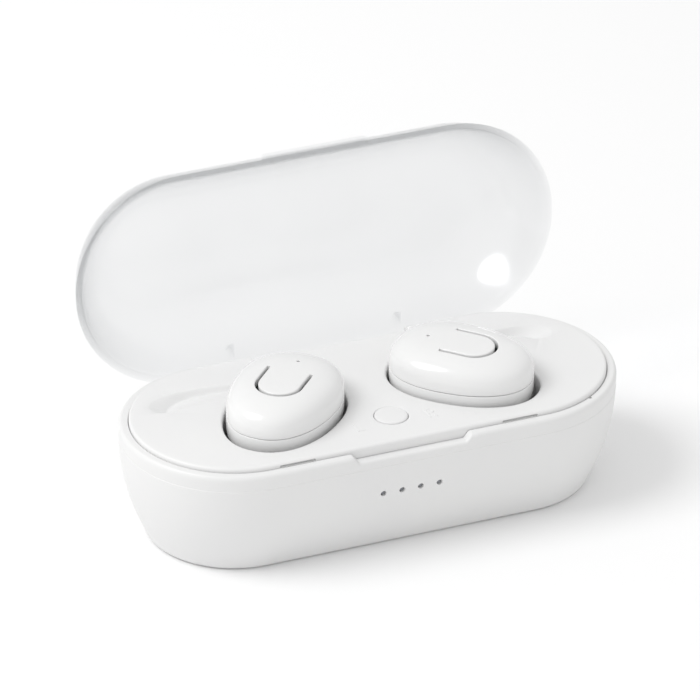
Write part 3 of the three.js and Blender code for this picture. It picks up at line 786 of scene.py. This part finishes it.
def build_lid():
    outer = bezier((LID_R, LID_Z), (16.3, 22.4), (14.2, LID_TOP), (8.0, LID_TOP), 30)
    inner = bezier((16.0, LID_Z + LIP_DEPTH), (15.0, 22.6), (13.1, LID_CEILING), (7.6, LID_CEILING), 26)
    profile = [(4.0, LID_TOP), *reversed(outer[1:])]
    profile += [(LID_R - 0.03, LID_Z + 0.12), (LID_R - 0.1, LID_Z + 0.02), (LID_R - 0.2, LID_Z)]
    profile += [(LIP_R + 0.12, LID_Z), (LIP_R + 0.03, LID_Z + 0.04), (LIP_R, LID_Z + 0.14)]
    profile += [(LIP_R, LID_Z + LIP_DEPTH - 0.12), (LIP_R - 0.04, LID_Z + LIP_DEPTH - 0.03),
                (LIP_R - 0.14, LID_Z + LIP_DEPTH)]
    profile += [*inner, (4.0, LID_CEILING)]
    lid = pill("lid_shell", profile)

    knuckle_loop = [(KNUCKLE_R * math.cos(t), KNUCKLE_R * math.sin(t)) for t in np.linspace(0, 2 * math.pi,
                                                                                            41)[:-1]]
    rows = [(-KNUCKLE_HALF, 0.86), (-KNUCKLE_HALF + 0.08, 0.95), (-KNUCKLE_HALF + 0.25, 1.0)]
    rows += [(-x, k) for x, k in reversed(rows)]
    knuckle = loft("knuckle", [[(x, HINGE_Y + k * y, HINGE_Z + k * z) for y, z in knuckle_loop] for x,
                               k in rows])
    web = loft("web", [[(KNUCKLE_HALF * 0.996 * sx, y, z) for sx, y in
                        ((-1, LIP_R + 0.02), (1, LIP_R + 0.02), (1, LID_R - 0.02), (-1, LID_R - 0.02))]
                       for z in (HINGE_Z, LID_Z + 0.4)])
    ribs = []
    for side in (-1, 1):
        section = [(16.75, 20.3), (16.3, 22.8), (15.3, 22.3), (13.9, 21.1), (13.5, 20.5), (14.0, 20.3)]
        ribs.append(loft("rib", [[(side * x, y, z) for y, z in section] for x in (13.6, 14.5)]))
        boolean(ribs[-1], pill("limit", [(LID_R - 1.0, LID_Z - 1), (LID_R - 0.02, LID_Z - 0.5), *outer,
                                         (4, LID_TOP)]),
                "INTERSECT")
    tab_rows = []
    for x, inset in ((-8.7, 0.45), (-8.62, 0.2), (-8.4, 0.06), (-8.1, 0.0), (8.1, 0.0), (8.4, 0.06),
                     (8.62, 0.2), (8.7, 0.45)):
        loop = rounded_rect(0.6 - inset * 0.6, 0.85 - inset, 0.28 * (1 - inset))
        tab_rows.append([(x, -17.6 + p[0], 18.85 + p[1]) for p in loop])
    tab = loft("tab", tab_rows)
    snaps = []
    for side in (-1, 1):
        rows = []
        for x, k in ((-SNAP_HALF, 0.3), (-SNAP_HALF + 0.12, 0.8), (-SNAP_HALF + 0.4, 1.0),
                     (SNAP_HALF - 0.4, 1.0), (SNAP_HALF - 0.12, 0.8), (SNAP_HALF, 0.3)):
            turn = np.linspace(0, 2 * math.pi, 17)[:-1]
            rows.append([(side * SNAP_X + x, -LIP_R - 0.05 + 0.25 * k * math.cos(t),
                          19.1 + 0.15 * k * math.sin(t))
                         for t in turn])
        snaps.append(loft("snap", rows))
    join(lid, web, knuckle, *ribs, tab, *snaps)
    bore = loft("lid_bore", [[(x, HINGE_Y + p[0], HINGE_Z + p[1])
                              for p in rounded_rect(PIN_R + 0.15, PIN_R + 0.15,
                                                    PIN_R + 0.15)] for x in (-14, 14)])
    cut(lid, bore)
    return moved(lid, lid_matrix())


place(build_lid(), LID_CLEAR, "lid", "lid", 30.0)


# ---------------------------------------------------------------- earbuds
def dome_scale(t):
    return max(0.0, 1 - t**DOME_POWER_Z) ** (1 / DOME_POWER_R)


def dome_height(u, v):
    """Height of the upper shell's outside over a point of the earbud's own frame."""
    half = BUD_B * (1 + BUD_LEAN * u)
    r = (abs(u / BUD_A) ** PLAN_POWER + abs(v / half) ** PLAN_POWER) ** (1 / PLAN_POWER)
    t = max(0.0, 1 - min(r, 1.0) ** DOME_POWER_R) ** (1 / DOME_POWER_Z)
    low = BUD_PART_Z + 0.06
    return low + t * (BUD_TOP - low)


def tongue_outline(grow, root_grow=0.0):
    """Outline of the touch tongue, offset outwards by grow; straight at the root, round at the end."""
    half = TONGUE_HALF + grow
    root = TONGUE_ROOT_U + root_grow
    points = []
    side_steps = 14
    for i in range(side_steps):
        points.append((root + (TONGUE_ARC_U - root) * i / side_steps, TONGUE_V + half))
    for i in range(33):
        t = math.pi / 2 + math.pi * i / 32
        points.append((TONGUE_ARC_U + half * math.cos(t), TONGUE_V + half * math.sin(t)))
    for i in range(1, side_steps + 1):
        points.append((TONGUE_ARC_U + (root - TONGUE_ARC_U) * i / side_steps, TONGUE_V - half))
    for i in range(1, 12):
        points.append((root, TONGUE_V - half + 2 * half * i / 12))
    return points


def rolled_edge(edge, offset, sign, lift=0.0):
    """Loops that round a slot's or the tongue's upper edge over, fading out at the tongue's root."""
    loops = []
    for i in range(6):
        t = math.pi / 2 * i / 5
        drop, grow = edge * (1 - math.sin(t)), edge * (1 - math.cos(t))
        loop = []
        for u, v in tongue_outline(offset + sign * grow):
            at_root = max(0.0, min(1.0, (u - (TONGUE_ROOT_U - 0.5)) / 0.5))
            loop.append((u, v, dome_height(u, v) - drop * (1 - at_root) + lift))
        loops.append(loop)
    return loops


def build_tongue(name):
    loops = []
    loops.append([(u, v, dome_height(u, v) - 1.05) for u, v in tongue_outline(-0.05)])
    loops.append([(u, v, dome_height(u, v) - 0.9) for u, v in tongue_outline(0.0)])
    loops += rolled_edge(0.22, 0.0, -1)
    for inset in (0.45, 0.8, 1.3, 1.8, 2.3, 2.8, 3.15):
        loops.append([(u, v, dome_height(u, v)) for u, v in tongue_outline(-inset)])
    return loft(name, loops)


def cutter_slot():
    """The slot round the tongue, its upper edge rounded to follow the dome."""
    edge = 0.2
    loops = [[(u, v, 20.0) for u, v in tongue_outline(TONGUE_GAP)]]
    loops += rolled_edge(edge, TONGUE_GAP, 1, 0.004)
    loops.append([(u, v, 34.0) for u, v in tongue_outline(TONGUE_GAP + edge)])
    return loft("slot", loops)


def build_dome(name):
    low = BUD_PART_Z + 0.06
    steps = 40
    rows = [(math.sin(math.pi / 2 * i / steps)) for i in range(steps)]
    rows += [0.99975]
    outer = [(BUD_A * dome_scale(t), BUD_B * dome_scale(t), low + t * (BUD_TOP - low)) for t in rows]
    inner_top = BUD_TOP - BUD_WALL
    a, b = BUD_A - BUD_WALL, BUD_B - BUD_WALL
    inner = [(a * dome_scale(t), b * dome_scale(t), low + t * (inner_top - low)) for t in rows[::2]]
    loops = [oval_loop(x, y, z, BUD_LEAN) for x, y, z in reversed(inner)]
    loops += [oval_loop(BUD_A - 0.09, BUD_B - 0.09, low, BUD_LEAN),
              oval_loop(BUD_A - 0.02, BUD_B - 0.02, low + 0.03, BUD_LEAN)]
    loops += [oval_loop(x, y, z, BUD_LEAN) for x, y, z in outer if z > low + 0.12]
    shell = loft(name, loops)
    mouth = dome_height(INDICATOR_U, INDICATOR_V)
    hole = lathe("mic", [(0.27, 22.6), (0.27, mouth - 0.06), (0.34, mouth + 0.01), (0.5, 32.0)],
                 INDICATOR_U, INDICATOR_V, 24)
    cut(shell, cutter_slot(), hole)
    return shell


LOWER_PROFILE = [(0.45, 11.2), (0.63, 12.0), (0.8, 13.4), (0.93, 15.6), (0.985, 17.6), (1.0, 19.0),
                 (1.0, BUD_PART_Z - 0.2)]


def build_lower(name):
    low = spline(LOWER_PROFILE, 6)
    top = BUD_PART_Z - 0.06
    loops = [oval_loop(4.0, 2.6, 11.2, BUD_LEAN), oval_loop(4.55, 3.2, 11.2, BUD_LEAN)]
    loops += [oval_loop(BUD_A * s, BUD_B * s, z, BUD_LEAN) for s, z in low[1:]]
    loops += [oval_loop(BUD_A - 0.02, BUD_B - 0.02, top - 0.05, BUD_LEAN),
              oval_loop(BUD_A - 0.09, BUD_B - 0.09, top, BUD_LEAN)]
    loops += [oval_loop(BUD_A - BUD_WALL, BUD_B - BUD_WALL, top, BUD_LEAN)]
    for s, z in ((0.97, 18.4), (0.9, 16.4), (0.76, 14.4), (0.5, 12.6), (0.3, 12.6)):
        loops.append(oval_loop((BUD_A - BUD_WALL) * s, (BUD_B - BUD_WALL) * s, z, BUD_LEAN))
    lower = loft(name, loops)
    nozzle = lathe("nozzle", [(2.4, 6.3), (2.75, 6.36), (2.9, 6.6), (2.9, 10.6), (3.0, 11.2), (3.3, 11.7),
                              (4.0, 12.3)],
                   NOZZLE_U, 0, 64)
    join(lower, nozzle)
    tools = [lathe("bore", [(2.1, 5.0), (2.1, 6.4), (1.9, 6.6), (1.9, 15.0)], NOZZLE_U, 0, 48)]
    for v in (-CONTACT_V, CONTACT_V):
        tools.append(lathe("contact_hole", [(1.2, 9.0), (1.2, 12.0), (1.02, 12.3), (1.02, 15.0)], CONTACT_U,
                           v, 32))
    cut(lower, *tools)
    return lower


def build_ear_tip(name):
    inner = [(3.1, 10.0), (3.1, 5.9), (2.95, 5.65), (2.3, 5.55), (2.2, 5.4), (2.2, 5.1)]
    crown = spline([(2.35, 4.97), (3.2, 5.05), (4.2, 5.55), (4.95, 6.5), (5.45, 7.7), (5.75, 9.0),
                    (5.9, 10.3)], 5)
    under = spline([(5.75, 10.42), (5.5, 10.36), (5.3, 9.3), (4.95, 8.2), (4.4, 7.1), (3.95, 6.7),
                    (3.9, 7.4), (3.9, 9.85)], 4)
    loops = inner + [tuple(p) for p in crown] + [tuple(p) for p in under] + [(3.75, 10.0)]
    return lathe(name, loops, NOZZLE_U, 0, 72, closed=True)


for side_name, side in (("left", -1), ("right", 1)):
    matrix = bud_matrix(side)
    body = f"{side_name}_bud"
    place(moved(build_dome(f"{body}_upper_shell"), matrix), BUD_WHITE, body, f"{body}_outer_shell")
    place(moved(build_lower(f"{body}_lower_shell"), matrix), BUD_WHITE, body, f"{body}_inner_shell")
    place(moved(build_ear_tip(f"{body}_silicone_tip"), matrix), SILICONE, body, f"{body}_ear_tip")
    tongue = place(moved(build_tongue(f"{body}_touch_tongue"), matrix), BUD_WHITE, None, f"{body}_button")
    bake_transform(tongue)
    for letter, v in (("a", CONTACT_V), ("b", -CONTACT_V)):
        low, high = node_box(f"{side_name}_charge_pin_{letter}")
        profile = [(0.35, low[2]), (0.5, low[2] + 0.1), (0.55, low[2] + 0.2), (0.55, high[2] - 0.75)]
        profile += [(0.42, high[2] - 0.7), (0.4, high[2] - 0.4), *arc(0, high[2] - 0.4, 0.4, 15, 80, 6)]
        pin = lathe(f"{side_name}_charge_plunger_{letter}", profile, CONTACT_U, v, 40)
        place(moved(pin, matrix), GOLD, f"{side_name}_charge_pin_{letter}",
              f"{side_name}_charge_pin_{letter}")


# ---------------------------------------------------------------- floor, light and camera
WORLD_STRENGTH = 0.80
CAMERA_ANGLES = (-22.91, 29.6, 0.63)  # turn, lift and roll, in degrees
CAMERA_PAN = (-2.91, 7.09)  # right and up
CAMERA_DISTANCE = 1226.36
CAMERA_LENS = 411.0
FLOOR_HALF_M = 3
KEY_LIGHT_AT_M = (-0.5, 0.05, 0.65)
KEY_LIGHT_SIZE_M = 0.45
KEY_LIGHT_WATTS = 2.8


def build_floor():
    half = FLOOR_HALF_M
    corners = [(-half, -half, 0), (half, -half, 0), (half, half, 0), (-half, half, 0)]
    floor = mesh_object("floor", corners, [(0, 1, 2, 3)])
    material, _, shader = new_material("pale_floor")
    shader.inputs["Base Color"].default_value = (0.93, 0.93, 0.93, 1)
    shader.inputs["Roughness"].default_value = 0.9
    floor.data.materials.append(material)


def area_light(name, location, size, power, target=(0, 0, 0.015)):
    data = bpy.data.lights.new(name, "AREA")
    data.shape = "DISK"
    data.size = size
    data.energy = power
    light = bpy.data.objects.new(name, data)
    light.location = location
    light.rotation_mode = "QUATERNION"
    light.rotation_quaternion = (Vector(target) - Vector(location)).to_track_quat("-Z", "Y")
    bpy.context.scene.collection.objects.link(light)


def build_world(strength):
    world = bpy.data.worlds.new("studio")
    bpy.context.scene.world = world
    world.use_nodes = True
    background = world.node_tree.nodes["Background"]
    background.inputs["Color"].default_value = (1, 1, 1, 1)
    background.inputs["Strength"].default_value = strength


def build_camera():
    """A long lens, in front of the case and a little to its left."""
    turn, lift, roll = (math.radians(angle) for angle in CAMERA_ANGLES)
    level = Vector((math.cos(turn), math.sin(turn), 0))
    back = Vector((math.sin(turn) * math.cos(lift), -math.cos(turn) * math.cos(lift), math.sin(lift)))
    rise = back.cross(level)
    right = level * math.cos(roll) + rise * math.sin(roll)
    up = back.cross(right)
    target = Vector((0, 0, BELLY_Z)) + CAMERA_PAN[0] * right + CAMERA_PAN[1] * up
    data = bpy.data.cameras.new("camera")
    data.sensor_width = 36
    data.lens = CAMERA_LENS
    data.clip_start = 0.05
    data.clip_end = 20
    camera = bpy.data.objects.new("camera", data)
    camera.location = (target + CAMERA_DISTANCE * back) * MM
    camera.rotation_mode = "QUATERNION"
    camera.rotation_quaternion = Matrix((right, up, back)).transposed().to_quaternion()
    bpy.context.scene.collection.objects.link(camera)
    bpy.context.scene.camera = camera


build_floor()
build_world(WORLD_STRENGTH)
area_light("key", KEY_LIGHT_AT_M, KEY_LIGHT_SIZE_M, KEY_LIGHT_WATTS)
build_camera()
bpy.context.scene.view_settings.view_transform = "Standard"
